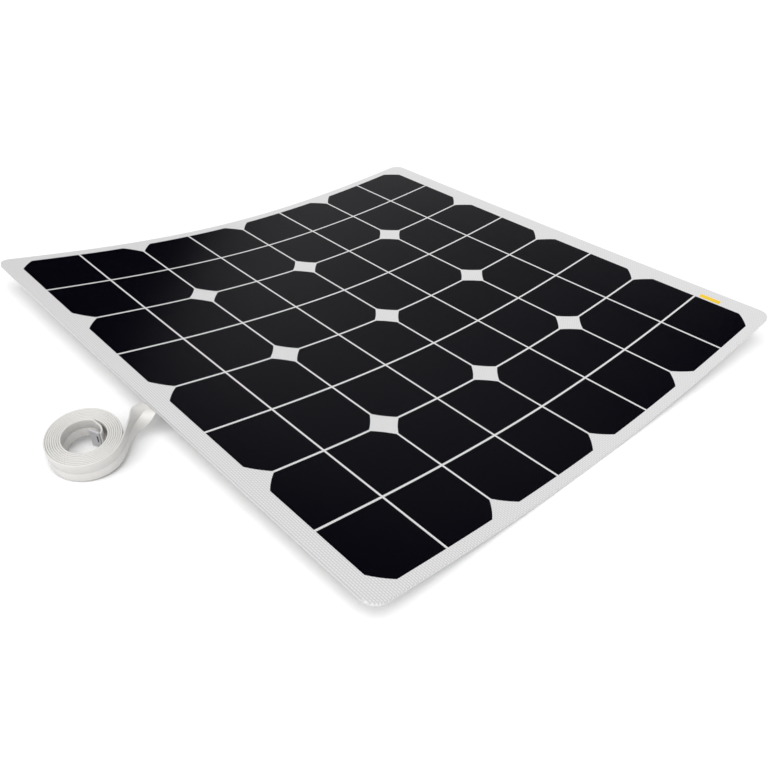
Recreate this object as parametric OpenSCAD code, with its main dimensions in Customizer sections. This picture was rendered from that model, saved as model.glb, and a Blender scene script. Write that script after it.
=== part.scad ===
// Flexible solar sheet: sixty-four quarter cells in a thin laminate that
// rests curled upwards, with a flat twin lead wound into a flat roll.
// X runs across the bend, Y along it, Z up. The sheet lies on Z = 0 at its
// belly, and the origin is under the middle of the sheet's box.
// The laminate bends as five strips that meet at four bend lines.

/* [Solar cells] */
// Side of one quarter cell
quarter_side = 62.5; // [60:0.5:63]
// White gap between neighbouring quarter cells
cell_gap = 2; // [1.5:0.1:3]
// Radius of the round ingot that clips the corners of a full cell
ingot_r = 80; // [76:0.5:86]
// Thickness of a cell
cell_t = 0.3; // [0.2:0.05:0.4]

/* [Laminate] */
// White border beyond the cell grid on the side where the lead leaves
border_lead = 14; // [12:1:20]
// White border beyond the cell grid on the far side
border_far = 18; // [12:1:24]
// White border beyond the cell grid along the two curved edges
border_side = 8.5; // [6:0.5:16]
// Radius of the sheet's corners
corner_r = 12; // [6:1:14]
// Thickness of the glass-fibre backing
backing_t = 1; // [0.8:0.1:1.6]
// Thickness of the copper and of the encapsulant round it
copper_t = 0.3; // [0.2:0.05:0.4]
// Clear encapsulant over the cells
front_encapsulant_t = 0.5; // [0.3:0.1:0.6]
// Embossed clear front film
film_t = 0.4; // [0.3:0.1:0.6]

/* [Bend at rest] */
// Radius of the middle strip
centre_bend_r = 1400; // [1200:20:2400]
// Radius of the two strips beside it
mid_bend_r = 1820; // [1400:20:3000]
// Radius of the two edge strips
end_bend_r = 4000; // [3000:100:6000]
// Width of the split at each bend line
bend_split = 1; // [0.6:0.1:1.4]

/* [Lead exit] */
// Place of the exit along the lead edge
exit_y = -12; // [-60:1:60]
// Length of the exit cover, along X
cover_l = 36; // [32:1:44]
// Width of the exit cover, along Y
cover_w = 44; // [36:1:60]
// Height of the exit cover under the backing
cover_h = 3.5; // [3:0.1:4]
// Wall of the exit cover
cover_wall = 1.2; // [0.8:0.1:2]

/* [Flat lead] */
// Width of the whole flat lead
lead_w = 17.8; // [16:0.2:19]
// Thickness of the flat lead
lead_t = 1.45; // [1.2:0.05:1.5]
// Outer radius of the roll
roll_r = 29; // [27:0.5:34]
// Turns of the lead in the roll
roll_turns = 7.8; // [5:0.1:8.5]
// Distance from one turn of the roll to the next
turn_pitch = 1.55; // [1.5:0.05:1.7]

/* [Hidden] */

// Number of fragments of a full circle for the laminate's large arcs
BEND_FN = 1440;
// Number of fragments for small rounds
ROUND_FN = 64;
// Number of fragments for the roll and the tail of the lead
ROLL_FN = 96;
// Number of fragments for the ingot's round
INGOT_FN = 128;
// Height of a cutter that goes right through a strip
CUT_H = 16;
// How far a cutter reaches past the faces that it opens
OVER = 0.2;

// Distance from one grid line to the next
pitch = quarter_side + cell_gap;
half_grid = 4 * pitch;
sheet_w = 2 * (half_grid + border_side);

// Heights above the underside of the laminate
cell_bottom = backing_t + copper_t;
cell_top = cell_bottom + cell_t;
film_bottom = cell_top + front_encapsulant_t;
film_top = film_bottom + film_t;
mid_h = film_top / 2;

// Arc places, along the laminate's middle surface, where the strips meet
strip_edges = [
    -half_grid - border_lead, -3 * pitch, -pitch,
    pitch, 3 * pitch, half_grid + border_far
];
strip_radius = [end_bend_r, mid_bend_r, centre_bend_r, mid_bend_r, end_bend_r];
LAST_STRIP = 4;

function arc_deg(length, radius) = length / radius * 180 / PI;
function strip_len(k) = strip_edges[k + 1] - strip_edges[k];
function strip_mid(k) = (strip_edges[k + 1] + strip_edges[k]) / 2;
function step(radius, deg) = [radius * sin(deg), -radius * cos(deg)];

// Slope at the inner and the outer bend lines, and the arcs' centres in XZ
inner_deg = arc_deg(pitch, centre_bend_r);
outer_deg = inner_deg + arc_deg(2 * pitch, mid_bend_r);
centre_c = [0, mid_h + centre_bend_r];
inner_line = centre_c + step(centre_bend_r, inner_deg);
mid_c = inner_line - step(mid_bend_r, inner_deg);
outer_line = mid_c + step(mid_bend_r, outer_deg);
end_c = outer_line - step(end_bend_r, outer_deg);

// The origin is under the middle of the sheet, which isn't the middle of the grid
far_x = end_c.x + (end_bend_r + mid_h) * sin(outer_deg + arc_deg(strip_len(4), end_bend_r));
lead_x = end_c.x + (end_bend_r + mid_h) * sin(outer_deg + arc_deg(strip_len(0), end_bend_r));
grid_x = (lead_x - far_x) / 2;

function strip_side(k) = k == 2 ? 0 : (k > 2 ? 1 : -1);
function strip_centre(k) = k == 2 ? centre_c : (k == 1 || k == 3 ? mid_c : end_c);
function strip_deg(k) =
    k == 2 ? 0
    : (k == 1 || k == 3 ? (inner_deg + outer_deg) / 2
    : outer_deg + arc_deg(strip_len(k) / 2, end_bend_r));

// A split is cut only at a bend line, not at the sheet's own edges
function strip_low(k) = -strip_len(k) / 2 + (k > 0 ? bend_split / 2 : 0);
function strip_high(k) = strip_len(k) / 2 - (k < LAST_STRIP ? bend_split / 2 : 0);

// Columns of quarter cells that a strip holds
strip_columns = [[0], [1, 2], [3, 4], [5, 6], [7]];

// ---- Placing and laying up one strip ----

// Moves a strip from its own frame, flat at its middle, to its place in the bend
module place_strip(k) {
    c = strip_centre(k);
    translate([grid_x + strip_side(k) * c.x, 0, c.y])
        rotate([0, -strip_side(k) * strip_deg(k), 0])
            translate([0, 0, -(strip_radius[k] + mid_h)])
                children();
}

// One layer of a strip, between two heights above the laminate's underside
module bent_layer(k, low, high) {
    r = strip_radius[k];
    sweep = arc_deg(strip_high(k) - strip_low(k), r);
    translate([0, 0, r + mid_h])
        rotate([90, 0, 0])
            rotate_extrude(angle = sweep, start = -90 + arc_deg(strip_low(k), r), $fn = BEND_FN)
                translate([r + mid_h - high, -sheet_w / 2])
                    square([high - low, sheet_w]);
}

// Cutters that leave the sheet's outer corners round
module corner_cutters(k) {
    side = strip_side(k);
    edge = strip_len(k) / 2;
    for (y = [-1, 1])
        difference() {
            translate([side * (edge - corner_r / 2 + 1), y * (sheet_w / 2 - corner_r / 2 + 1)])
                square(corner_r + 2, center = true);
            translate([side * (edge - corner_r), y * (sheet_w / 2 - corner_r)])
                circle(corner_r, $fn = ROUND_FN);
        }
}

// A layer with the sheet's round corners, where the strip has them
module laminate_layer(k, low, high) {
    if (k == 0 || k == LAST_STRIP)
        difference() {
            bent_layer(k, low, high);
            linear_extrude(height = CUT_H, center = true)
                corner_cutters(k);
        }
    else
        bent_layer(k, low, high);
}

// The part of a layer that lies under a flat outline
module layer_piece(k, low, high) {
    intersection() {
        bent_layer(k, low, high);
        linear_extrude(height = CUT_H, center = true)
            translate([-strip_mid(k), 0])
                children();
    }
}

// ---- Outlines in the plane of the grid ----

// A quarter of a full cell: only its outer corner is clipped by the ingot's round
module quarter_cell() {
    translate([cell_gap / 2, cell_gap / 2])
        intersection() {
            square(quarter_side);
            circle(ingot_r, $fn = INGOT_FN);
        }
}

module cell_outlines(k) {
    for (column = strip_columns[k])
        for (row = [0 : 7]) {
            right = column % 2;
            upper = row % 2;
            turn = right == 1 ? (upper == 1 ? 0 : 270) : (upper == 1 ? 90 : 180);
            translate([(column - right - 3) * pitch, (row - upper - 3) * pitch])
                rotate(turn)
                    quarter_cell();
        }
}

// Three links join each cell to the next one in its column
link_w = 4;
link_l = 12;
link_spread = 18;
module link_outlines(k) {
    for (column = strip_columns[k])
        for (joint = [-3 : 3])
            for (place = [-1 : 1])
                translate([(column - 3.5) * pitch + place * link_spread, joint * pitch])
                    square([link_w, link_l], center = true);
}

// Ribbons: seven that join the columns into one string, and the two that bring
// the ends of the string round to the exit
ribbon_w = 4;
ribbon_reach = 8;
return_w = 3;
riser_w = 2.5;
turn_y = 247;
return_y = 254;
minus_riser_x = -266;
plus_riser_x = -261.5;
post_x = -252;
minus_y = exit_y + 6;
plus_y = exit_y - 6;

module strap(from, to, width) {
    low = [min(from.x, to.x), min(from.y, to.y)] - [width, width] / 2;
    high = [max(from.x, to.x), max(from.y, to.y)] + [width, width] / 2;
    translate(low)
        square(high - low);
}

module ribbon_outlines() {
    for (column = [0 : 6]) {
        y = column % 2 == 0 ? turn_y : -turn_y;
        strap(
            [(column - 3.5) * pitch - ribbon_reach, y],
            [(column - 2.5) * pitch + ribbon_reach, y], ribbon_w
        );
    }
    // Far end of the string, back along the side to the lead edge, then up to the exit
    strap([3.5 * pitch, -turn_y], [3.5 * pitch, -return_y], ribbon_w);
    strap([3.5 * pitch, -return_y], [minus_riser_x, -return_y], return_w);
    strap([minus_riser_x, -return_y], [minus_riser_x, minus_y], riser_w);
    strap([minus_riser_x, minus_y], [post_x, minus_y], riser_w);
    // Near end of the string, straight up to the exit
    strap([-3.5 * pitch, -turn_y], [plus_riser_x, -turn_y], riser_w);
    strap([plus_riser_x, -turn_y], [plus_riser_x, plus_y], riser_w);
    strap([plus_riser_x, plus_y], [post_x, plus_y], riser_w);
}

// Ribbons stop short of the bend lines, where the laminate itself is split
ribbon_inset = 1;
module strip_ribbons(k) {
    intersection() {
        ribbon_outlines();
        translate([strip_mid(k) + strip_low(k) + ribbon_inset, -sheet_w / 2])
            square([strip_high(k) - strip_low(k) - 2 * ribbon_inset, sheet_w]);
    }
}

// ---- Laminate, from the front to the back ----

module front_film(k) {
    color([0.86, 0.88, 0.90])
        place_strip(k)
            laminate_layer(k, film_bottom, film_top);
}

module front_encapsulant(k) {
    color([0.93, 0.93, 0.90])
        place_strip(k)
            laminate_layer(k, cell_top, film_bottom);
}

module cells(k) {
    color([0.03, 0.04, 0.09])
        place_strip(k)
            layer_piece(k, cell_bottom, cell_top)
                cell_outlines(k);
}

// White encapsulant between the cells, as thick as they are
module cell_surround(k) {
    color([0.90, 0.91, 0.92])
        place_strip(k)
            difference() {
                laminate_layer(k, cell_bottom, cell_top);
                layer_piece(k, cell_bottom - OVER, cell_top + OVER)
                    cell_outlines(k);
            }
}

// White encapsulant behind the cells, with the copper set into it
module rear_encapsulant(k) {
    color([0.90, 0.91, 0.92])
        place_strip(k)
            difference() {
                laminate_layer(k, backing_t, cell_bottom);
                layer_piece(k, backing_t - OVER, cell_bottom + OVER)
                    union() {
                        strip_ribbons(k);
                        link_outlines(k);
                    }
            }
}

module cell_links(k) {
    color([0.80, 0.50, 0.32])
        place_strip(k)
            layer_piece(k, backing_t, cell_bottom)
                link_outlines(k);
}

module bus_ribbons(k) {
    color([0.82, 0.82, 0.84])
        place_strip(k)
            layer_piece(k, backing_t, cell_bottom)
                strip_ribbons(k);
}

module backing(k) {
    color([0.95, 0.95, 0.95])
        place_strip(k)
            difference() {
                laminate_layer(k, 0, backing_t);
                if (k == 0)
                    layer_piece(k, -OVER, backing_t + OVER)
                        post_outlines(post_w + 2 * post_clearance);
            }
}

// ---- Lead exit, under the edge strip ----

post_w = 4;
post_clearance = 0.2;
cover_floor = 0.8;
cover_low_x = -262;
cover_r = 5;
plate_t = 0.5;
plate_w = 6;
plate_low = -1.5;
plate_reach = 18;
diode_near = 8;
diode_far = 14;
diode_below = 0.6;
diode_above = 0.9;
lead_h = -1.75;
core_gap = 0.2;
core_w = (lead_w - core_gap) / 2;
boot_l = 6;
entry_low_x = cover_low_x - boot_l - 2.5;
entry_high_x = cover_low_x + 8;

module post_outlines(width) {
    for (y = [minus_y, plus_y])
        translate([post_x, y])
            square(width, center = true);
}

module cover_outline(inset) {
    size = [cover_l - 2 * inset, cover_w - 2 * inset];
    r = cover_r - inset;
    translate([cover_low_x + inset, exit_y - size.y / 2]) {
        translate([r, 0])
            square([size.x - 2 * r, size.y]);
        translate([0, r])
            square([size.x, size.y - 2 * r]);
        for (x = [r, size.x - r], y = [r, size.y - r])
            translate([x, y])
                circle(r, $fn = ROUND_FN);
    }
}

// A flat box in the frame of the lead edge's strip
module edge_box(low_x, high_x, mid_y, width, low, high) {
    translate([low_x - strip_mid(0), mid_y - width / 2, low])
        cube([high_x - low_x, width, high - low]);
}

module lead_slot(clearance) {
    edge_box(
        entry_low_x - 1, entry_high_x, exit_y, lead_w + 2 * clearance,
        lead_h - lead_t / 2 - clearance, lead_h + lead_t / 2 + clearance
    );
}

module exit_cover() {
    color([0.92, 0.92, 0.92])
        place_strip(0)
            difference() {
                layer_piece(0, -cover_h, 0)
                    cover_outline(0);
                layer_piece(0, -cover_h + cover_floor, OVER)
                    cover_outline(cover_wall);
                lead_slot(0);
            }
}

module exit_potting() {
    color([0.20, 0.20, 0.22])
        place_strip(0)
            difference() {
                layer_piece(0, -cover_h + cover_floor, 0)
                    cover_outline(cover_wall);
                terminal_shapes();
                diode_shape();
                lead_slot(0);
            }
}

module terminal_shapes() {
    for (y = [minus_y, plus_y]) {
        edge_box(entry_high_x, post_x + plate_reach, y, plate_w, plate_low, plate_low + plate_t);
        layer_piece(0, plate_low + plate_t, backing_t)
            translate([post_x, y])
                square(post_w, center = true);
    }
}

module terminal_plates() {
    color([0.80, 0.78, 0.62])
        place_strip(0)
            terminal_shapes();
}

// The diode bridges the two plates
module diode_shape() {
    edge_box(
        post_x + diode_near, post_x + diode_far, exit_y, minus_y - plus_y - plate_w,
        plate_low - diode_below, plate_low + diode_above
    );
}

module bypass_diode() {
    color([0.10, 0.10, 0.10])
        place_strip(0)
            diode_shape();
}

// A short flat sleeve that keeps the lead from kinking at the cover
module exit_boot() {
    wall = 0.8;
    color([0.88, 0.88, 0.88])
        place_strip(0)
            difference() {
                edge_box(
                    cover_low_x - boot_l, cover_low_x, exit_y, lead_w + 2 * wall,
                    lead_h - lead_t / 2 - wall, lead_h + lead_t / 2 + wall
                );
                lead_slot(0);
            }
}

// The lead's own end, held in the cover
module lead_entry(side) {
    y = exit_y + side * (core_w + core_gap) / 2;
    color([0.94, 0.94, 0.94])
        place_strip(0)
            edge_box(
                entry_low_x, entry_high_x, y, core_w,
                lead_h - lead_t / 2, lead_h + lead_t / 2
            );
}

// ---- Flat lead: the stretch from the exit to the roll ----

// Middle of the roll and the way it leans on the surface
roll_x = -328.2;
roll_y = -14.6;
roll_z = 14.3;
roll_lean = [6.7, -8.2, 0];
roll_hole_r = roll_r - roll_turns * turn_pitch - lead_t;

// X, Y, Z and the lean of the lead's width, from lying flat to standing on edge
run_route = [
    [-272.3, -12, 19.9, 0],
    [-275, -12, 20.2, 4],
    [-279.9, -13.5, 19.8, 22],
    [-285.7, -16.3, 18.6, 52],
    [-292, -20.1, 17.7, 76],
    [-298.4, -25.3, 16.9, 86],
    [-303.7, -30.3, 15.9, 89]
];
RINGS_PER_SPAN = 3;

function spline(a, b, c, d, u) =
    0.5 * (2 * b + (c - a) * u + (2 * a - 5 * b + 4 * c - d) * u * u
    + (3 * b - a - 3 * c + d) * u * u * u);
function padded_route() = concat(
    [2 * run_route[0] - run_route[1]], run_route,
    [2 * run_route[len(run_route) - 1] - run_route[len(run_route) - 2]]
);
function run_points() =
    let (p = padded_route())
    concat(
        [for (i = [1 : len(p) - 3]) for (j = [0 : RINGS_PER_SPAN - 1])
            spline(p[i - 1], p[i], p[i + 1], p[i + 2], j / RINGS_PER_SPAN)],
        [p[len(p) - 2]]
    );
function place_of(p) = [p[0], p[1], p[2]];
function unit(v) = v / norm(v);

// Cross-section of one core, in width and thickness
core_section = [
    [0.5, -0.2], [0.5, 0.2], [0.44, 0.5], [-0.44, 0.5],
    [-0.5, 0.2], [-0.5, -0.2], [-0.44, -0.5], [0.44, -0.5]
];
SIDES = len(core_section);

function core_ring(points, i, side) =
    let (
        last = len(points) - 1,
        from = i == 0 ? run_route[0] : points[i - 1],
        to = i == 0 ? run_route[1] : points[min(i + 1, last)],
        along = unit(place_of(to) - place_of(from)),
        across = unit(cross(along, [0, 0, 1])),
        up = cross(across, along),
        lean = points[i][3],
        wide = across * cos(lean) + up * sin(lean),
        thick = cross(along, wide),
        middle = place_of(points[i]) + wide * side * (core_w + core_gap) / 2
    )
    [for (s = core_section) middle + wide * s.x * core_w + thick * s.y * lead_t];

module lead_run(side) {
    points = run_points();
    rings = len(points);
    corners = [for (i = [0 : rings - 1]) each core_ring(points, i, side)];
    skin = [
        for (i = [0 : rings - 2]) for (j = [0 : SIDES - 1])
            let (a = i * SIDES + j, b = i * SIDES + (j + 1) % SIDES)
            each [[a, a + SIDES, b + SIDES], [a, b + SIDES, b]]
    ];
    start_cap = [for (j = [0 : SIDES - 1]) j];
    end_cap = [for (j = [SIDES - 1 : -1 : 0]) (rings - 1) * SIDES + j];
    color([0.94, 0.94, 0.94])
        polyhedron(points = corners, faces = concat(skin, [start_cap, end_cap]), convexity = 4);
}

// ---- Flat lead: the roll and what lies in its hole ----

module place_roll() {
    translate([roll_x, roll_y, roll_z])
        rotate(roll_lean)
            children();
}

// The roll's outer shape, one half of the lead's width high for each core
module lead_roll(side) {
    color([0.94, 0.94, 0.94])
        place_roll()
            rotate_extrude($fn = ROLL_FN)
                translate([roll_hole_r, side > 0 ? core_gap / 2 : -core_gap / 2 - core_w])
                    square([roll_r - roll_hole_r, core_w]);
}

// The last part of the lead curls away from the hole's wall
tail_from_deg = 20;
tail_sweep = 75;
tail_r = 9.5;
tail_clearance = 0.1;
tail_leave_r = roll_hole_r - lead_t / 2 - tail_clearance;

module place_tail() {
    offset = tail_leave_r - tail_r;
    translate([offset * cos(tail_from_deg), offset * sin(tail_from_deg), 0])
        children();
}

module lead_tail(side) {
    color([0.94, 0.94, 0.94])
        place_roll()
            place_tail()
                rotate_extrude(angle = tail_sweep, start = tail_from_deg - tail_sweep, $fn = ROLL_FN)
                    translate([tail_r - lead_t / 2, side > 0 ? core_gap / 2 : -core_gap / 2 - core_w])
                        square([lead_t, core_w]);
}

// A flat moulded piece closes the lead's end and folds back into the hole
flap_l = 9;
flap_t = 1.6;
flap_gap = 1.2;
flap_fold_deg = 100;
module lead_end_flap() {
    color([0.72, 0.72, 0.74])
        place_roll()
            place_tail()
                rotate(tail_from_deg - tail_sweep)
                    translate([tail_r, 0, 0])
                        rotate(-90 - flap_fold_deg)
                            translate([flap_gap, -flap_t / 2, -lead_w / 2])
                                cube([flap_l, flap_t, lead_w]);
}

// ---- Every node, one line each ----

front_film(0);  // front_film_lead_edge
front_film(1);  // front_film_lead_mid
front_film(2);  // front_film_centre
front_film(3);  // front_film_far_mid
front_film(4);  // front_film_far_edge
front_encapsulant(0);  // front_encapsulant_lead_edge
front_encapsulant(1);  // front_encapsulant_lead_mid
front_encapsulant(2);  // front_encapsulant_centre
front_encapsulant(3);  // front_encapsulant_far_mid
front_encapsulant(4);  // front_encapsulant_far_edge
cells(0);  // cells_lead_edge
cells(1);  // cells_lead_mid
cells(2);  // cells_centre
cells(3);  // cells_far_mid
cells(4);  // cells_far_edge
rear_encapsulant(0);  // rear_encapsulant_lead_edge
rear_encapsulant(1);  // rear_encapsulant_lead_mid
rear_encapsulant(2);  // rear_encapsulant_centre
rear_encapsulant(3);  // rear_encapsulant_far_mid
rear_encapsulant(4);  // rear_encapsulant_far_edge
cell_surround(0);  // cell_surround_lead_edge
cell_surround(1);  // cell_surround_lead_mid
cell_surround(2);  // cell_surround_centre
cell_surround(3);  // cell_surround_far_mid
cell_surround(4);  // cell_surround_far_edge
cell_links(0);  // cell_links_lead_edge
cell_links(1);  // cell_links_lead_mid
cell_links(2);  // cell_links_centre
cell_links(3);  // cell_links_far_mid
cell_links(4);  // cell_links_far_edge
bus_ribbons(0);  // bus_ribbons_lead_edge
bus_ribbons(1);  // bus_ribbons_lead_mid
bus_ribbons(2);  // bus_ribbons_centre
bus_ribbons(3);  // bus_ribbons_far_mid
bus_ribbons(4);  // bus_ribbons_far_edge
backing(0);  // backing_lead_edge
backing(1);  // backing_lead_mid
backing(2);  // backing_centre
backing(3);  // backing_far_mid
backing(4);  // backing_far_edge
exit_cover();
exit_potting();
terminal_plates();
bypass_diode();
exit_boot();
lead_entry(-1);  // lead_entry_minus
lead_entry(1);  // lead_entry_plus
lead_run(-1);  // lead_run_minus
lead_run(1);  // lead_run_plus
lead_roll(-1);  // lead_roll_minus
lead_roll(1);  // lead_roll_plus
lead_tail(-1);  // lead_tail_minus
lead_tail(1);  // lead_tail_plus
lead_end_flap();
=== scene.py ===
# %% [markdown]
# # A flexible solar sheet
# This lesson builds a thin solar laminate that rests curled upwards, with a
# flat white lead wound into a roll beside it. The solid parts come from the
# frame. What is made here is what the eye sees: the curved laminate, its cells,
# the lead with its real length, and the finish of every surface.

# %% Load the frame
from math import ceil, cos, pi, radians, sin, sqrt

import bpy
from mathutils import Euler, Matrix, Vector


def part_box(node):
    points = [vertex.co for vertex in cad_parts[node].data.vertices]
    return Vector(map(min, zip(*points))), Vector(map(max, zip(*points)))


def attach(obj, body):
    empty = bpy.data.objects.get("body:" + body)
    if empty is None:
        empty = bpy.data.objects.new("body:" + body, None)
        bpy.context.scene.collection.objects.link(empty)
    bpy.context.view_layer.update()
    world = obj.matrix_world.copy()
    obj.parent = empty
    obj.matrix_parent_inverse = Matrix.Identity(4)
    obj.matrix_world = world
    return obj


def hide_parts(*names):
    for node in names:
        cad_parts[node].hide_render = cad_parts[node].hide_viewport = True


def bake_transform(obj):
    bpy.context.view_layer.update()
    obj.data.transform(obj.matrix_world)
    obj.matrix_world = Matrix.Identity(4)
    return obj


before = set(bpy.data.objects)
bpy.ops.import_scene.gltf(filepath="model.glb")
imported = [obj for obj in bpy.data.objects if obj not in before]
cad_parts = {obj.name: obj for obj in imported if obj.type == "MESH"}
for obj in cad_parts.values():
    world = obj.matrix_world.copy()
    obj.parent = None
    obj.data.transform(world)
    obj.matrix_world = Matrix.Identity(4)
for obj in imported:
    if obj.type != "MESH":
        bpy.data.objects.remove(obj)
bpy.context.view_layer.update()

MM = 0.001

# %% [markdown]
# ## The camera
# A camera is a place, a direction and a lens. The direction is given as a
# heading, a dip below the horizon and a small tilt to one side, because these
# are easier to read and to change than a rotation matrix.

# %% Set up the camera
CAMERA_PLACE = Vector((-0.5099, -0.4801, 0.4082))
HEADING = radians(43.12)
DIP = radians(35.01)
TILT = radians(5.24)
LENS = 37.71
SENSOR_WIDTH = 36
NEAREST_SEEN = 10 * MM

scene = bpy.context.scene
camera = bpy.data.objects.new("camera", bpy.data.cameras.new("camera"))
scene.collection.objects.link(camera)
camera.data.sensor_width = SENSOR_WIDTH
camera.data.lens = LENS
camera.data.clip_start = NEAREST_SEEN

forward = Vector((cos(DIP) * cos(HEADING), cos(DIP) * sin(HEADING), -sin(DIP)))
level = Vector((sin(HEADING), -cos(HEADING), 0))
right = level * cos(TILT) + level.cross(forward) * sin(TILT)
up = right.cross(forward)
camera.matrix_world = Matrix.Translation(CAMERA_PLACE) @ Matrix(
    (right, up, -forward)).transposed().to_4x4()
scene.camera = camera
print("camera at", tuple(round(v, 3) for v in CAMERA_PLACE))

# %% [markdown]
# ## Small helpers for meshes and nodes
# Every piece is made at its own place, on an object that stays at the origin,
# so one helper turns points and faces into such an object. Another turns its
# modifiers into a plain mesh. A third adds a math node, and it works in geometry
# trees and in shader trees alike.

# %% Helpers
SHARP_ANGLE = radians(40)


def shade(mesh, sharp):
    mesh.shade_smooth()
    mesh.set_sharp_from_angle(angle=sharp)


def new_piece(name, points, faces, material=None, smooth=True):
    mesh = bpy.data.meshes.new(name)
    mesh.from_pydata([tuple(p) for p in points], [], faces)
    mesh.update()
    piece = bpy.data.objects.new(name, mesh)
    scene.collection.objects.link(piece)
    if material:
        mesh.materials.append(material)
    if smooth:
        shade(mesh, SHARP_ANGLE)
    return piece


def bake(piece, sharp=SHARP_ANGLE):
    """Turns the piece's modifiers into a plain mesh and takes them off."""
    graph = bpy.context.evaluated_depsgraph_get()
    mesh = bpy.data.meshes.new_from_object(piece.evaluated_get(graph))
    piece.modifiers.clear()
    piece.data = mesh
    shade(mesh, sharp)
    return piece


def maths(tree, operation, *values):
    node = tree.nodes.new("ShaderNodeMath")
    node.operation = operation
    for socket, value in zip(node.inputs, values):
        if isinstance(value, bpy.types.NodeSocket):
            tree.links.new(value, socket)
        else:
            socket.default_value = value
    return node.outputs[0]


# %% [markdown]
# ## Grain and emboss, shared by several finishes
# A shader node group is an effect with a name. The front film is pressed with a
# fine pattern of rows, and the same film covers the white border and the cells,
# so both finishes use one group. It reads the sheet's flat coordinates, which
# keeps the rows true where the sheet curls. Besides the bump, it gives out the
# height of the rows. The finishes use that height to colour the hollows between
# the rows darker and the ridges lighter: painted shade and painted sheen.

# %% Embossed film group
def new_group(name, inputs, outputs):
    group = bpy.data.node_groups.new(name, "ShaderNodeTree")
    for label, kind, value in inputs:
        socket = group.interface.new_socket(label, in_out="INPUT", socket_type=kind)
        if value is not None:
            socket.default_value = value
    for label, kind in outputs:
        group.interface.new_socket(label, in_out="OUTPUT", socket_type=kind)
    return group, group.nodes.new("NodeGroupInput"), group.nodes.new("NodeGroupOutput")


STITCH_SHARE = 0.45


def make_film_group():
    group, given, result = new_group(
        "Embossed film",
        [("Row pitch", "NodeSocketFloat", 2.0 * MM), ("Stitch pitch", "NodeSocketFloat", 2.6 * MM),
         ("Depth", "NodeSocketFloat", 0.06 * MM)],
        [("Normal", "NodeSocketVector"), ("Painted ridge shade", "NodeSocketFloat")],
    )
    flat = group.nodes.new("ShaderNodeUVMap")
    flat.uv_map = "flat"
    parts = group.nodes.new("ShaderNodeSeparateXYZ")
    group.links.new(flat.outputs["UV"], parts.inputs[0])
    rows = maths(group, "DIVIDE", parts.outputs["X"], given.outputs["Row pitch"])
    # Every second row is pushed along by half a stitch, as in a woven cloth
    shift = maths(group, "MULTIPLY", maths(group, "FLOORED_MODULO", maths(group, "FLOOR", rows), 2), 0.5)
    stitches = maths(group, "DIVIDE", parts.outputs["Y"], given.outputs["Stitch pitch"])
    stitches = maths(group, "ADD", stitches, shift)
    row_wave = maths(group, "ABSOLUTE", maths(group, "SINE", maths(group, "MULTIPLY", rows, pi)))
    stitch_wave = maths(group, "ABSOLUTE", maths(group, "SINE", maths(group, "MULTIPLY", stitches, pi)))
    stitched = maths(group, "MULTIPLY_ADD", stitch_wave, STITCH_SHARE, 1 - STITCH_SHARE)
    ridge = maths(group, "MULTIPLY", row_wave, stitched)
    bump = group.nodes.new("ShaderNodeBump")
    bump.inputs["Strength"].default_value = 1.0
    group.links.new(given.outputs["Depth"], bump.inputs["Distance"])
    group.links.new(ridge, bump.inputs["Height"])
    group.links.new(bump.outputs["Normal"], result.inputs["Normal"])
    # The row height also goes out to colour the finishes: painted shade in the hollows, painted sheen on the
    # ridges
    group.links.new(ridge, result.inputs["Painted ridge shade"])
    return group


# %% [markdown]
# Moulded and extruded plastic has a fine uneven grain and is never quite one
# colour. A second group gives that to the lead, the cover and the small parts.

# %% Fine grain group
CLOUD_SCALE = 60


def make_grain_group():
    group, given, result = new_group(
        "Fine grain",
        [("Scale", "NodeSocketFloat", 900.0), ("Depth", "NodeSocketFloat", 0.02 * MM)],
        [("Normal", "NodeSocketVector"), ("Cloud", "NodeSocketFloat")],
    )
    place = group.nodes.new("ShaderNodeTexCoord")
    fine = group.nodes.new("ShaderNodeTexNoise")
    group.links.new(place.outputs["Object"], fine.inputs["Vector"])
    group.links.new(given.outputs["Scale"], fine.inputs["Scale"])
    broad = group.nodes.new("ShaderNodeTexNoise")
    broad.inputs["Scale"].default_value = CLOUD_SCALE
    group.links.new(place.outputs["Object"], broad.inputs["Vector"])
    bump = group.nodes.new("ShaderNodeBump")
    bump.inputs["Strength"].default_value = 1.0
    group.links.new(given.outputs["Depth"], bump.inputs["Distance"])
    group.links.new(fine.outputs["Fac"], bump.inputs["Height"])
    group.links.new(bump.outputs["Normal"], result.inputs["Normal"])
    group.links.new(broad.outputs["Fac"], result.inputs["Cloud"])
    return group


film_group = make_film_group()
grain_group = make_grain_group()
print("shader groups:", film_group.name, "and", grain_group.name)

# %% [markdown]
# ## Finishes
# One function makes a finish: a shader, one of the two groups, and a colour
# that moves a little between a low and a high shade. With the grain group the
# colour moves at random, which is the plastic's own tone. With the film group it
# follows the rows, so the low colour is painted shade in the hollows and the high
# one is painted sheen on the ridges. What is the same all over, such as the coat,
# is set on the shader's own socket.

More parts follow.
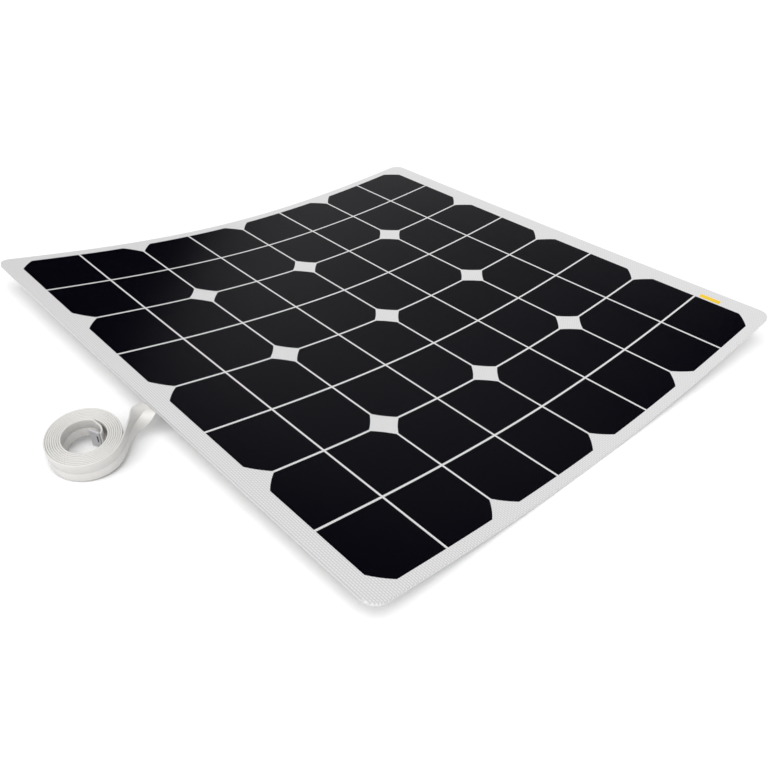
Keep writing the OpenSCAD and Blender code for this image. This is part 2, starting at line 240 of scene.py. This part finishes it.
# %% Make the finishes
def finish(name, low, high, rough, group, values, varies,
           coat=0.0, coat_rough=0.1, metal=0.0, specular=0.5):
    material = bpy.data.materials.new(name)
    material.use_nodes = True
    tree = material.node_tree
    shader = tree.nodes["Principled BSDF"]
    shader.inputs["Roughness"].default_value = rough
    shader.inputs["Metallic"].default_value = metal
    shader.inputs["Coat Weight"].default_value = coat
    shader.inputs["Coat Roughness"].default_value = coat_rough
    shader.inputs["Specular IOR Level"].default_value = specular
    effect = tree.nodes.new("ShaderNodeGroup")
    effect.node_tree = group
    for label, value in values.items():
        effect.inputs[label].default_value = value
    shades = tree.nodes.new("ShaderNodeMix")
    shades.data_type = "RGBA"
    shades.inputs["A"].default_value = (*low, 1)
    shades.inputs["B"].default_value = (*high, 1)
    tree.links.new(effect.outputs[varies], shades.inputs["Factor"])
    tree.links.new(shades.outputs["Result"], shader.inputs["Base Color"])
    tree.links.new(effect.outputs["Normal"], shader.inputs["Normal"])
    return material


def grained(name, low, high, rough, depth=0.02, **more):
    return finish(name, low, high, rough, grain_group, {"Depth": depth * MM}, "Cloud", **more)


# The laminate, the cells and the backing take their colour from the film's rows: darker in the hollows,
# which is painted shade, and lighter on the ridges, which is painted sheen
white_face = finish("white laminate under film", (0.52, 0.52, 0.525), (0.75, 0.745, 0.745), 0.42, film_group,
                    {"Depth": 0.07 * MM}, "Painted ridge shade", specular=0.3)
cell_face = finish("solar cell under film", (0.0, 0.0, 0.0003), (0.0036, 0.0032, 0.0070), 0.20, film_group,
                   {"Depth": 0.09 * MM}, "Painted ridge shade", specular=0.2)
backing_white = finish("glass-fibre backing", (0.62, 0.62, 0.61), (0.72, 0.72, 0.71), 0.6, film_group,
                       {"Row pitch": 0.9 * MM, "Stitch pitch": 0.9 * MM, "Depth": 0.03 * MM}, "Painted ridge shade")
lead_white = grained("white lead jacket", (0.60, 0.59, 0.57), (0.68, 0.67, 0.65), 0.42, 0.02,
                     coat=0.1, coat_rough=0.3)
cover_white = grained("white moulded cover", (0.66, 0.66, 0.65), (0.74, 0.74, 0.73), 0.5, 0.04)
flap_grey = grained("grey end flap", (0.44, 0.44, 0.46), (0.52, 0.52, 0.54), 0.45, 0.02)
bar_black = grained("black polarity bar", (0.010, 0.010, 0.010), (0.022, 0.022, 0.022), 0.5, 0.01)
patch_yellow = grained("plain yellow patch", (0.78, 0.50, 0.02), (0.88, 0.60, 0.04), 0.4, 0.01)
tinned_copper = grained("tinned copper", (0.62, 0.60, 0.57), (0.75, 0.73, 0.70), 0.35, 0.01, metal=1.0)
potting_black = grained("black potting", (0.012, 0.012, 0.013), (0.03, 0.03, 0.032), 0.55, 0.05)
terminal_metal = grained("tinned brass", (0.66, 0.58, 0.38), (0.78, 0.70, 0.50), 0.3, 0.01, metal=1.0)
diode_black = grained("moulded diode", (0.012, 0.012, 0.012), (0.022, 0.022, 0.022), 0.4, 0.02)
print("finishes:", len(bpy.data.materials))

# %% [markdown]
# ## The flat lead
# The real lead is a flat twin: two cores side by side with a groove between
# them. It leaves the sheet lying flat, turns on edge within five centimetres,
# winds inwards clockwise, and ends inside the hole of its own roll. It could be
# one extruded ribbon, but two cores give the groove its true shadow. The route
# of the free stretch is a short list of points; the turns come from a loop.

# %% The lead's sizes and its route
LEAD_WIDTH = 17.8 * MM
LEAD_THICK = 1.45 * MM
CORE_GAP = 0.02 * MM
CORE_WIDTH = (LEAD_WIDTH - CORE_GAP) / 2

# X, Y and Z in millimetres, and the lean of the width: 0 is flat, 90 on edge.
# The first point lies half a millimetre inside the end that the cover holds.
RUN_ROUTE = [
    (-271.3, -12, 19.75, 0), (-272.3, -12, 19.9, 0), (-275, -12, 20.2, 4), (-279.9, -13.5, 19.8, 22),
    (-285.7, -16.3, 18.6, 52), (-292, -20.1, 17.7, 76), (-298.4, -25.3, 16.9, 86), (-303.7, -30.3, 15.9, 89),
]
ROLL_MIDDLE = Vector((-328.2, -14.6, 14.3)) * MM
ROLL_LEAN = Euler((radians(6.7), radians(-8.2), 0)).to_matrix()
ROLL_RADIUS = 29 * MM
TURN_PITCH = 1.55 * MM
ROLL_START = -50
ROLL_SWEEP = 2794
POINTS_PER_TURN = 24
RINGS_PER_STRETCH = 3

# Where the tail leaves the wall of the hole and curls inwards
TAIL_ROUTE = [(13.75, 5.0), (14.33, 1.76), (13.25, -2.63), (10.27, -6.03)]


def in_roll(x, y):
    return ROLL_MIDDLE + ROLL_LEAN @ Vector((x, y, 0))


def lead_stations():
    """Points along the lead, each with the direction of the lead's width."""
    axis = ROLL_LEAN @ Vector((0, 0, 1))
    places = [Vector(p[:3]) * MM for p in RUN_ROUTE]
    stations = []
    for i, place in enumerate(places):
        along = (places[min(i + 1, len(places) - 1)] - places[max(i - 1, 0)]).normalized()
        across = along.cross(Vector((0, 0, 1))).normalized()
        lean = radians(RUN_ROUTE[i][3])
        stations.append((place, across * cos(lean) + across.cross(along) * sin(lean)))
    steps = ceil(ROLL_SWEEP / 360 * POINTS_PER_TURN)
    for i in range(steps + 1):
        swept = ROLL_SWEEP * i / steps
        radius = ROLL_RADIUS - LEAD_THICK / 2 - TURN_PITCH * swept / 360
        angle = radians(ROLL_START - swept)
        stations.append((in_roll(radius * cos(angle), radius * sin(angle)), axis))
    stations += [(in_roll(x * MM, y * MM), axis) for x, y in TAIL_ROUTE]
    return stations


# %% [markdown]
# A smooth line through the stations is a Catmull-Rom curve: each stretch leans
# on the points before and after it. The width's direction is carried along the
# same way and squared to the line at every ring.

# %% Smooth the route
def smooth(values, i, u):
    last = len(values) - 1
    a, b, c, d = (values[min(max(j, 0), last)] for j in (i - 1, i, i + 1, i + 2))
    if i == 0:
        a = b * 2 - c
    if i + 2 > last:
        d = c * 2 - b
    square, cube = a * 2 - b * 5 + c * 4 - d, b * 3 - a - c * 3 + d
    return (b * 2 + (c - a) * u + square * u**2 + cube * u**3) * 0.5


def lead_rings():
    stations = lead_stations()
    places = [s[0] for s in stations]
    widths = [s[1] for s in stations]
    spots = [(i, j / RINGS_PER_STRETCH) for i in range(len(places) - 1) for j in range(RINGS_PER_STRETCH)]
    spots.append((len(places) - 2, 1.0))
    line = [smooth(places, i, u) for i, u in spots]
    rings = []
    for k, (i, u) in enumerate(spots):
        along = (line[min(k + 1, len(line) - 1)] - line[max(k - 1, 0)]).normalized()
        wide = smooth(widths, i, u)
        wide = (wide - along * wide.dot(along)).normalized()
        rings.append((line[k], wide, along.cross(wide)))
    return rings


rings = lead_rings()
lead_length = sum((b[0] - a[0]).length for a, b in zip(rings, rings[1:]))
print(f"lead: {len(rings)} rings, {lead_length:.3f} m")

# %% [markdown]
# Each core is a mesh tube: the same flat section at every ring, joined ring to
# ring and closed at both ends. The section is round on its outer edge and nearly
# square where it meets the other core, so the groove between them stays fine.
# The second core is the first one's mirror image.

# %% Make the two cores
SECTION = [
    (0.50, -0.12), (0.50, 0.12), (0.48, 0.36), (0.43, 0.50), (-0.475, 0.50), (-0.495, 0.42),
    (-0.50, 0.30), (-0.50, -0.30), (-0.495, -0.42), (-0.475, -0.50), (0.43, -0.50), (0.48, -0.36),
]


def make_core(name, side):
    line = [place + wide * side * (CORE_WIDTH + CORE_GAP) / 2 for place, wide, thick in rings]
    section = [(x * side, y) for x, y in SECTION][::side]
    points = [
        middle + wide * x * CORE_WIDTH + thick * y * LEAD_THICK
        for middle, (place, wide, thick) in zip(line, rings) for x, y in section
    ]
    n = len(section)
    faces = [
        (i * n + j, (i + 1) * n + j, (i + 1) * n + (j + 1) % n, i * n + (j + 1) % n)
        for i in range(len(rings) - 1) for j in range(n)
    ]
    faces.append(tuple(range(n)))
    faces.append(tuple((len(rings) - 1) * n + j for j in reversed(range(n))))
    return new_piece(name, points, faces, lead_white), line


minus_core, minus_line = make_core("lead_core_minus", -1)
plus_core, plus_line = make_core("lead_core_plus", 1)

# %% [markdown]
# A flat grey flap closes the lead's end, folded back into the hole, with one
# raised black bar on it. Both are small rounded plates, so
# one helper makes a plate with a bevelled edge and sets it in place.

# %% Make the end flap
FLAP_LENGTH = 9 * MM
FLAP_THICK = 1.6 * MM
FLAP_GAP = 1.2 * MM
FLAP_FOLD = 100
TAIL_RADIUS = 9.5 * MM
TAIL_CENTRE = (4.826 * MM, 1.756 * MM)
TAIL_LEAVES = 20
TAIL_TURN = 75
TAIL_END = TAIL_LEAVES - TAIL_TURN
FLAP_EDGE = 0.4 * MM
BAR_SIZE = (1.2 * MM, FLAP_THICK + 0.3 * MM, 6.5 * MM)
BAR_PLACE = (FLAP_GAP + 2.0 * MM, 0, 1.5 * MM)
BAR_EDGE = 0.1 * MM
PLATE_SHARP = radians(50)


def rounded_plate(name, size, place, edge, material):
    x, y, z = (v / 2 for v in size)
    corners = [(i * x, j * y, k * z) for i in (-1, 1) for j in (-1, 1) for k in (-1, 1)]
    faces = [(0, 1, 3, 2), (4, 6, 7, 5), (0, 4, 5, 1), (2, 3, 7, 6), (0, 2, 6, 4), (1, 5, 7, 3)]
    piece = new_piece(name, corners, faces, material, smooth=False)
    bevel = piece.modifiers.new("edge", "BEVEL")
    bevel.width = edge
    bevel.segments = 3
    bake(piece, PLATE_SHARP)
    piece.data.transform(place)
    return piece


fold = Matrix.Rotation(radians(TAIL_END - 90 - FLAP_FOLD), 4, "Z")
hinge_x = TAIL_CENTRE[0] + TAIL_RADIUS * cos(radians(TAIL_END))
hinge_y = TAIL_CENTRE[1] + TAIL_RADIUS * sin(radians(TAIL_END))
flap_place = (Matrix.Translation(ROLL_MIDDLE) @ ROLL_LEAN.to_4x4()
              @ Matrix.Translation((hinge_x, hinge_y, 0)) @ fold)
flap_middle = flap_place @ Matrix.Translation((FLAP_GAP + FLAP_LENGTH / 2, 0, 0))
flap = rounded_plate("end_flap", (FLAP_LENGTH, FLAP_THICK, LEAD_WIDTH), flap_middle, FLAP_EDGE, flap_grey)
bar_middle = flap_place @ Matrix.Translation(BAR_PLACE)
bar = rounded_plate("polarity_bar", BAR_SIZE, bar_middle, BAR_EDGE, bar_black)
print("end flap:", [round(v * 1000, 1) for v in flap.dimensions], "mm")

# %% [markdown]
# ## Flat plates, the stock of the sheet
# Backing, laminate, cells and copper all start as flat plates. A plate is a
# strip of columns along the sheet, each with its own low and high edge, so a
# rounded corner or a clipped cell is just a column that is a little shorter.

# %% Plate builder
PITCH = 64.5 * MM
CELL_GAP = 2 * MM
CELL_SIDE = 62.5 * MM
INGOT_RADIUS = 80 * MM
HALF_WIDTH = 4 * PITCH + 8.5 * MM
CORNER = 12 * MM
BORDER = {"lead": 14 * MM, "far": 18 * MM}
SIDE_OF = {"lead": -1, "far": 1}


def plate(stock, columns, edges, rows, bottom, top):
    """Adds one closed plate to the stock, a pair of lists of points and faces."""
    points, faces = stock
    first = len(points)
    for z in (bottom, top):
        for x in columns:
            low, high = edges(x)
            points += [(x, low + (high - low) * j / rows, z) for j in range(rows + 1)]
    tall = rows + 1
    layer = len(columns) * tall

    def at(level_number, i, j):
        return first + level_number * layer + i * tall + j

    for i in range(len(columns) - 1):
        for j in range(rows):
            faces.append((at(1, i, j), at(1, i + 1, j), at(1, i + 1, j + 1), at(1, i, j + 1)))
            faces.append((at(0, i, j), at(0, i, j + 1), at(0, i + 1, j + 1), at(0, i + 1, j)))
        faces.append((at(0, i, 0), at(0, i + 1, 0), at(1, i + 1, 0), at(1, i, 0)))
        faces.append((at(0, i + 1, rows), at(0, i, rows), at(1, i, rows), at(1, i + 1, rows)))
    last = len(columns) - 1
    for j in range(rows):
        faces.append((at(0, 0, j + 1), at(0, 0, j), at(1, 0, j), at(1, 0, j + 1)))
        faces.append((at(0, last, j), at(0, last, j + 1), at(1, last, j + 1), at(1, last, j)))
    return stock


def even(start, stop, step):
    count = max(1, ceil(abs(stop - start) / step))
    return [start + (stop - start) * i / count for i in range(count + 1)]


# %% [markdown]
# ## The curl, as a Geometry Nodes tree
# The sheet lies on the ground at its belly and rises to both edges. Its shape
# follows a rule: three arcs one after another, tightest in the middle. A bend
# modifier gives only one arc, so the rule is written as a tree with a named
# input for each radius. It first stores the flat place of every corner, for the
# patterns, and then moves the points onto the arcs.

# %% Build the curl tree
middle_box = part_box("backing_centre")
GRID_MIDDLE = (middle_box[0][0] + middle_box[1][0]) / 2
NEUTRAL = 1.25 * MM
CURL_VALUES = {
    "Middle radius": 1.40, "Shoulder radius": 1.82, "Edge radius": 4.0,
    "First line": PITCH, "Second line": 3 * PITCH,
    "Neutral height": NEUTRAL, "Grid middle": GRID_MIDDLE,
    "Twist": -0.0954, "Crown": 0.0158,
}
PAST_THE_EDGE = 10.0


def end_with_material(tree, geometry, given, result):
    real = tree.nodes.new("GeometryNodeRealizeInstances")
    coat = tree.nodes.new("GeometryNodeSetMaterial")
    tree.links.new(geometry, real.inputs[0])
    tree.links.new(real.outputs[0], coat.inputs["Geometry"])
    tree.links.new(given.outputs["Material"], coat.inputs["Material"])
    tree.links.new(coat.outputs[0], result.inputs[0])


def new_tree(name, numbers, extra=()):
    tree = bpy.data.node_groups.new(name, "GeometryNodeTree")
    tree.interface.new_socket("Geometry", in_out="INPUT", socket_type="NodeSocketGeometry")
    for label, value in numbers.items():
        kind = "NodeSocketInt" if isinstance(value, int) else "NodeSocketFloat"
        tree.interface.new_socket(label, in_out="INPUT", socket_type=kind).default_value = value
    for label, kind in (*extra, ("Material", "NodeSocketMaterial")):
        tree.interface.new_socket(label, in_out="INPUT", socket_type=kind)
    tree.interface.new_socket("Geometry", in_out="OUTPUT", socket_type="NodeSocketGeometry")
    return tree, tree.nodes.new("NodeGroupInput"), tree.nodes.new("NodeGroupOutput")


def make_curl_tree():
    tree, given, result = new_tree("Curl the sheet", CURL_VALUES)
    value = given.outputs
    place = tree.nodes.new("GeometryNodeInputPosition")
    parts = tree.nodes.new("ShaderNodeSeparateXYZ")
    tree.links.new(place.outputs[0], parts.inputs[0])
    x, y, z = parts.outputs

    store = tree.nodes.new("GeometryNodeStoreNamedAttribute")
    store.data_type = "FLOAT2"
    store.domain = "CORNER"
    store.inputs["Name"].default_value = "flat"
    tree.links.new(value["Geometry"], store.inputs["Geometry"])
    tree.links.new(place.outputs[0], store.inputs["Value"])

    reach = maths(tree, "ABSOLUTE", x)
    arcs = (("Middle radius", 0.0, value["First line"]),
            ("Shoulder radius", value["First line"], value["Second line"]),
            ("Edge radius", value["Second line"], PAST_THE_EDGE))
    angle, across, rise = 0.0, 0.0, 0.0
    for label, start, stop in arcs:
        run = maths(tree, "SUBTRACT", maths(tree, "MINIMUM", reach, stop), start)
        turn = maths(tree, "DIVIDE", maths(tree, "MAXIMUM", run, 0.0), value[label])
        after = maths(tree, "ADD", angle, turn)
        wider = maths(tree, "SUBTRACT", maths(tree, "SINE", after), maths(tree, "SINE", angle))
        higher = maths(tree, "SUBTRACT", maths(tree, "COSINE", angle), maths(tree, "COSINE", after))
        across = maths(tree, "ADD", across, maths(tree, "MULTIPLY", wider, value[label]))
        rise = maths(tree, "ADD", rise, maths(tree, "MULTIPLY", higher, value[label]))
        angle = after
    above = maths(tree, "SUBTRACT", z, value["Neutral height"])
    across = maths(tree, "SUBTRACT", across, maths(tree, "MULTIPLY", above, maths(tree, "SINE", angle)))
    rise = maths(tree, "ADD", rise, maths(tree, "MULTIPLY", above, maths(tree, "COSINE", angle)))
    rise = maths(tree, "ADD", rise, value["Neutral height"])
    # A thin sheet is never quite true: a slight twist and a slight crown along Y
    twist = maths(tree, "MULTIPLY", maths(tree, "MULTIPLY", x, y), value["Twist"])
    crown = maths(tree, "MULTIPLY", maths(tree, "MULTIPLY", y, y), value["Crown"])
    rise = maths(tree, "ADD", rise, maths(tree, "ADD", twist, crown))
    sideways = maths(tree, "MULTIPLY_ADD", across, maths(tree, "SIGN", x), value["Grid middle"])

    joined = tree.nodes.new("ShaderNodeCombineXYZ")
    for socket, part in zip(joined.inputs, (sideways, y, rise)):
        tree.links.new(part, socket)
    move = tree.nodes.new("GeometryNodeSetPosition")
    tree.links.new(store.outputs[0], move.inputs["Geometry"])
    tree.links.new(joined.outputs[0], move.inputs["Position"])
    end_with_material(tree, move.outputs[0], given, result)
    return tree


# %% [markdown]
# ## Laying parts on a grid
# Sixteen full cells lie in four rows of four, and the copper links behind them
# repeat too. Copying meshes in a loop would work, but a tree that sets one part
# on every point of a grid says what is meant, and its counts can be changed.

# %% Build the grid tree
def make_grid_tree():
    numbers = {"Columns": 2, "Rows": 4, "Column pitch": 2 * PITCH, "Row pitch": 2 * PITCH, "Middle": 0.0}
    tree, given, result = new_tree("Lay parts on a grid", numbers, [("Part", "NodeSocketObject")])
    value = given.outputs
    grid = tree.nodes.new("GeometryNodeMeshGrid")
    for size, count, pitch in (("Size X", "Columns", "Column pitch"), ("Size Y", "Rows", "Row pitch")):
        gaps = maths(tree, "SUBTRACT", value[count], 1)
        tree.links.new(maths(tree, "MULTIPLY", gaps, value[pitch]), grid.inputs[size])
    tree.links.new(value["Columns"], grid.inputs["Vertices X"])
    tree.links.new(value["Rows"], grid.inputs["Vertices Y"])
    offset = tree.nodes.new("ShaderNodeCombineXYZ")
    tree.links.new(value["Middle"], offset.inputs["X"])
    shift = tree.nodes.new("GeometryNodeSetPosition")
    tree.links.new(grid.outputs["Mesh"], shift.inputs["Geometry"])
    tree.links.new(offset.outputs[0], shift.inputs["Offset"])
    part = tree.nodes.new("GeometryNodeObjectInfo")
    tree.links.new(value["Part"], part.inputs["Object"])
    scatter = tree.nodes.new("GeometryNodeInstanceOnPoints")
    tree.links.new(shift.outputs[0], scatter.inputs["Points"])
    tree.links.new(part.outputs["Geometry"], scatter.inputs["Instance"])
    both = tree.nodes.new("GeometryNodeJoinGeometry")
    tree.links.new(value["Geometry"], both.inputs[0])
    tree.links.new(scatter.outputs[0], both.inputs[0])
    end_with_material(tree, both.outputs[0], given, result)
    return tree


curl_tree = make_curl_tree()
grid_tree = make_grid_tree()


def add_nodes(piece, tree, values):
    """Adds the tree to the piece, with its inputs set by their identifiers."""
    modifier = piece.modifiers.new(tree.name, "NODES")
    modifier.node_group = tree
    for item in tree.interface.items_tree:
        if item.in_out == "INPUT" and item.name in values:
            modifier[item.identifier] = values[item.name]


def curled(piece, material):
    add_nodes(piece, curl_tree, {"Material": material})
    return bake(piece)


print("trees:", curl_tree.name, "and", grid_tree.name)

# %% [markdown]
# ## The laminate
# The sheet is pressed from a glass-fibre backing and a white face under clear
# film. Each is made in two halves that meet at the middle line, because each
# half bends between the middle of the sheet and one of its edges.

# %% Backing and face
BACKING_TOP = 1.0 * MM
FACE_TOP = 2.5 * MM
COLUMN_STEP = 4 * MM
CORNER_STEPS = 8
SHEET_ROWS = 90


def sheet_columns(side):
    start = 4 * PITCH + BORDER[side] - CORNER
    turns = [pi / 2 * i / CORNER_STEPS for i in range(1, CORNER_STEPS + 1)]
    columns = even(0, start, COLUMN_STEP) + [start + CORNER * sin(turn) for turn in turns]
    return columns if SIDE_OF[side] > 0 else [-x for x in reversed(columns)]


def sheet_edges(side):
    start = 4 * PITCH + BORDER[side] - CORNER

    def edges(x):
        over = min(max(abs(x) - start, 0), CORNER)
        high = HALF_WIDTH - CORNER + sqrt(max(CORNER**2 - over**2, 0))
        return -high, high
    return edges


def half_sheet(name, side, bottom, top, material):
    stock = plate(([], []), sheet_columns(side), sheet_edges(side), SHEET_ROWS, bottom, top)
    return curled(new_piece(name, *stock), material)


halves = {}
for side in SIDE_OF:
    halves["backing", side] = half_sheet(f"backing_half_{side}", side, 0, BACKING_TOP, backing_white)
    halves["face", side] = half_sheet(f"face_half_{side}", side, BACKING_TOP, FACE_TOP, white_face)
    print(side, "half:", len(halves["face", side].data.polygons), "faces")

# %% [markdown]
# ## The cells
# A full cell is a square cut from a round ingot, so its corners are clipped by
# the ingot's own circle. Here each one is cut in four quarters with white gaps
# between. One full cell is made as four small plates, and the grid tree lays it
# out. The plates stand a twentieth of a millimetre proud of the white face.

# %% Cells
CELL_BOTTOM = 1.3 * MM
CELL_TOP = FACE_TOP + 0.05 * MM
CELL_STEP = 8 * MM
CLIP_STEP = 3 * MM
CELL_ROWS = 4


def full_cell():
    low = CELL_GAP / 2
    high = low + CELL_SIDE
    clip = sqrt(INGOT_RADIUS**2 - high**2)
    across = even(low, clip, CELL_STEP) + even(clip, high, CLIP_STEP)[1:]
    stock = ([], [])
    for sx in (-1, 1):
        for sy in (-1, 1):
            columns = [sx * x for x in (across if sx > 0 else reversed(across))]

            def edges(x, sy=sy):
                top = min(high, sqrt(INGOT_RADIUS**2 - x**2))
                return (low, top) if sy > 0 else (-top, -low)
            plate(stock, columns, edges, CELL_ROWS, CELL_BOTTOM, CELL_TOP)
    return stock


def laid_out(name, part_stock, material, start_stock=((), ()), **grid_values):
    part = new_piece(name + "_part", *part_stock)
    piece = new_piece(name, *start_stock)
    values = {label.replace("_", " "): value for label, value in grid_values.items()}
    add_nodes(piece, grid_tree, {"Part": part, "Material": material, **values})
    curled(piece, material)
    bpy.data.objects.remove(part)
    return piece


for side, sign in SIDE_OF.items():
    halves["cells", side] = laid_out(f"cells_half_{side}", full_cell(), cell_face, Middle=sign * 2 * PITCH)
    print(side, "cells:", len(halves["cells", side].data.polygons), "faces")

# %% [markdown]
# ## The copper behind the cells
# Three links join each quarter cell to the next in its column, and ribbons join
# the columns into one string and bring its ends round to the exit. They lie
# inside the laminate, so they only need to be true in place and to bend with it.

# %% Links and ribbons
COPPER_LOW = 1.0 * MM
COPPER_HIGH = 1.3 * MM
LINK_WIDTH = 4 * MM
LINK_LENGTH = 12 * MM
LINK_SPREAD = 18 * MM
RIBBON_WIDTH = 4 * MM
RETURN_WIDTH = 3 * MM
RISER_WIDTH = 2.4 * MM
RIBBON_REACH = 10 * MM
RIBBON_STEP = 12 * MM
TURN_Y = 247 * MM
RETURN_Y = 254 * MM
FAR_END_X = -266 * MM
NEAR_END_X = -261.5 * MM
POST_X = -252 * MM
FAR_END_Y = -6 * MM
NEAR_END_Y = -18 * MM
SHORTEST = 0.5 * MM


def link_trio():
    stock = ([], [])
    for place in (-LINK_SPREAD, 0, LINK_SPREAD):
        columns = [place - LINK_WIDTH / 2, place + LINK_WIDTH / 2]
        plate(stock, columns, lambda x: (-LINK_LENGTH / 2, LINK_LENGTH / 2), 1, COPPER_LOW, COPPER_HIGH)
    return stock


def along_x(x0, x1, y, width):
    return x0, y - width / 2, x1, y + width / 2


def along_y(x, y0, y1, width):
    return x - width / 2, y0, x + width / 2, y1


def straps():
    """Low and high corner of each ribbon, flat."""
    found = []
    for column in range(7):
        low = (column - 3.5) * PITCH - RIBBON_REACH
        high = (column - 2.5) * PITCH + RIBBON_REACH
        found.append(along_x(low, high, TURN_Y if column % 2 == 0 else -TURN_Y, RIBBON_WIDTH))
    # Far end of the string, back along the side and up to its own post
    found.append(along_y(3.5 * PITCH, -RETURN_Y, -TURN_Y, RIBBON_WIDTH))
    found.append(along_x(FAR_END_X, 3.5 * PITCH, -RETURN_Y, RETURN_WIDTH))
    found.append(along_y(FAR_END_X, -RETURN_Y, FAR_END_Y, RISER_WIDTH))
    found.append(along_x(FAR_END_X, POST_X, FAR_END_Y, RISER_WIDTH))
    # Near end of the string, straight up to its own post
    found.append(along_x(NEAR_END_X, -3.5 * PITCH, -TURN_Y, RISER_WIDTH))
    found.append(along_y(NEAR_END_X, -TURN_Y, NEAR_END_Y, RISER_WIDTH))
    found.append(along_x(NEAR_END_X, POST_X, NEAR_END_Y, RISER_WIDTH))
    return found


def ribbon_stock(side):
    stock = ([], [])
    for x0, y0, x1, y1 in straps():
        if SIDE_OF[side] > 0:
            x0 = max(x0, 0)
        else:
            x1 = min(x1, 0)
        if x1 - x0 > SHORTEST:
            plate(stock, even(x0, x1, RIBBON_STEP), lambda x: (y0, y1), 1, COPPER_LOW, COPPER_HIGH)
    return stock


for side, sign in SIDE_OF.items():
    halves["copper", side] = laid_out(
        f"copper_half_{side}", link_trio(), tinned_copper, ribbon_stock(side),
        Columns=4, Rows=7, Column_pitch=PITCH, Row_pitch=PITCH, Middle=sign * 2 * PITCH)
    print(side, "copper:", len(halves["copper", side].data.polygons), "faces")

# %% [markdown]
# ## A plain patch on the far border
# A small yellow patch lies on the white border near one corner. It carries no
# lettering. It is one thin plate that the curl tree lays on the film.

# %% Yellow patch
PATCH_X = (259 * MM, 264.5 * MM)
PATCH_Y = (-219 * MM, -197 * MM)
PATCH_THICK = 0.08 * MM
PATCH_STEP = 3 * MM
PATCH_ROWS = 8

patch_stock = plate(([], []), even(*PATCH_X, PATCH_STEP), lambda x: PATCH_Y, PATCH_ROWS,
                    FACE_TOP, FACE_TOP + PATCH_THICK)
patch = curled(new_piece("yellow_patch", *patch_stock), patch_yellow)
print("patch:", [round(v * 1000, 1) for v in patch.dimensions], "mm")

# %% [markdown]
# ## Finishes for the solid parts
# The exit cover and what is sealed in it have their true shape already, so they
# keep it and only get their finish.

# %% Finish the parts that stay
NODE_FINISHES = {
    "exit_cover": cover_white, "exit_boot": cover_white, "exit_potting": potting_black,
    "terminal_plates": terminal_metal, "bypass_diode": diode_black,
    "lead_entry_minus": lead_white, "lead_entry_plus": lead_white,
}
for node, material in NODE_FINISHES.items():
    part = bpy.data.objects[node]
    part.data.materials.clear()
    part.data.materials.append(material)
print("finished parts:", len(NODE_FINISHES))

# %% [markdown]
# ## What each piece stands for, and how it moves
# Each half of the sheet stands for its layers in the middle strip and in the
# two strips on its own side, and those parts are hidden. The two cores stand for
# the lead's run, roll and tail, and the grey flap for the lead's end. The flap
# and its bar go with the middle body, and the yellow patch with the far edge.

# %% Tie the pieces to the bodies
STRIPS = {"lead": ("lead_edge", "lead_mid", "centre"), "far": ("far_edge", "far_mid", "centre")}
STANDS_FOR = {
    "backing": ["backing"],
    "face": ["front_film", "front_encapsulant", "cell_surround", "rear_encapsulant"],
    "cells": ["cells"],
    "copper": ["cell_links", "bus_ribbons"],
}

for (kind, side), piece in halves.items():
    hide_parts(*[f"{layer}_{strip}" for layer in STANDS_FOR[kind] for strip in STRIPS[side]])
    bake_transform(piece)

for core, sign_name in ((minus_core, "minus"), (plus_core, "plus")):
    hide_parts(f"lead_run_{sign_name}", f"lead_roll_{sign_name}", f"lead_tail_{sign_name}")
    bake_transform(core)

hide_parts("lead_end_flap")
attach(flap, "centre")
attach(bar, "centre")
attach(patch, "far_edge")

# %% [markdown]
# The two cores are made with their real length. A flat cord's diameter should be
# its width, but these turns lie flat on each other, 1.55 mm apart, and a cord
# that wide and round could not be wound so tightly. So the diameter given here
# is that of a round cord with the same section. It isn't the core's width, which
# is CORE_WIDTH.

# %% [markdown]
# ## Floor and light
# A plain pale floor, one wide soft light from high above, and a grey studio that
# fills the shadows. The studio is kept out of every mirror image, because dark
# glossy cells show what they mirror more than their own colour. A pale card just
# beyond the far side lights up the far cells and leaves the near ones black,
# which a card far away couldn't do, because all the cells would mirror it.

# %% Floor and light
FLOOR_REACH = 8
FLOOR_HEIGHT = -0.2 * MM

ways = ((-1, -1), (1, -1), (1, 1), (-1, 1))
floor_corners = [(x * FLOOR_REACH, y * FLOOR_REACH, FLOOR_HEIGHT) for x, y in ways]
floor = new_piece("floor", floor_corners, [(0, 1, 2, 3)], smooth=False)
floor_white = grained("pale floor", (0.91, 0.91, 0.91), (0.93, 0.93, 0.93), 0.9, 0.0)
floor.data.materials.append(floor_white)


def add_light(name, kind, energy, facing):
    light = bpy.data.objects.new(name, bpy.data.lights.new(name, kind))
    light.data.energy = energy
    light.rotation_euler = Vector(facing).to_track_quat("-Z", "Y").to_euler()
    scene.collection.objects.link(light)
    return light


sun = add_light("soft light", "SUN", 3.0, (0.50, 0.35, -1.0))
sun.data.angle = radians(70)

# A pale card stands close beyond the far side, and the camera doesn't see it
card = add_light("pale card", "AREA", 1.15, (-1, -1, -0.05))
card.data.shape = "RECTANGLE"
card.data.size = 1.3
card.data.size_y = 0.7
card.location = (1.11, 0.69, 0.42)
card.visible_camera = False

world = bpy.data.worlds.new("studio")
scene.world = world
world.use_nodes = True
backdrop = world.node_tree.nodes["Background"]
backdrop.inputs["Color"].default_value = (0.35, 0.35, 0.355, 1)
world.cycles_visibility.glossy = False
scene.view_settings.view_transform = "Standard"
print("light and floor set")
